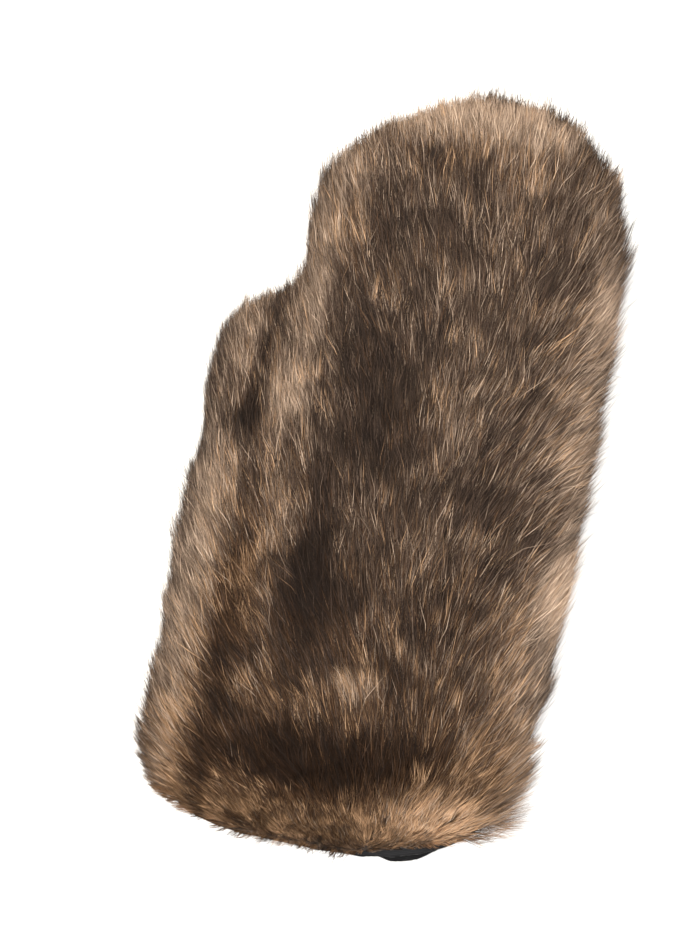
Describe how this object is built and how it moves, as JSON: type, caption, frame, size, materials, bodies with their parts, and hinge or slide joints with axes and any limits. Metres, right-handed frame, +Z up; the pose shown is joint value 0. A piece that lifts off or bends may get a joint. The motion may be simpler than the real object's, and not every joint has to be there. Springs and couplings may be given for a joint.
{
  "type": "fur mitten",
  "caption": "Right-hand mitten of deep mottled brown fur on the back, palm and thumb, over a smooth black lining bag, lying palm down with its wrist end open.",
  "frame": {"origin": "on the flattened fur of the palm, under the middle of the hand", "axes": "+Y from the wrist mouth to the fingertips, +Z up out of the back of the hand, -X towards the thumb"},
  "size_m": [0.15, 0.2884, 0.0672],
  "materials": {
    "lining": "smooth black satin lining",
    "back_fur": "deep mottled brown fur",
    "palm_fur": "deep mottled brown fur",
    "thumb_fur": "deep mottled brown fur"
  },
  "bodies": {
    "root": {"lining": "lining", "thumb_lining": "lining", "back_fur": "back_fur", "palm_fur": "palm_fur", "thumb_fur": "thumb_fur"}
  },
  "joints": []
}
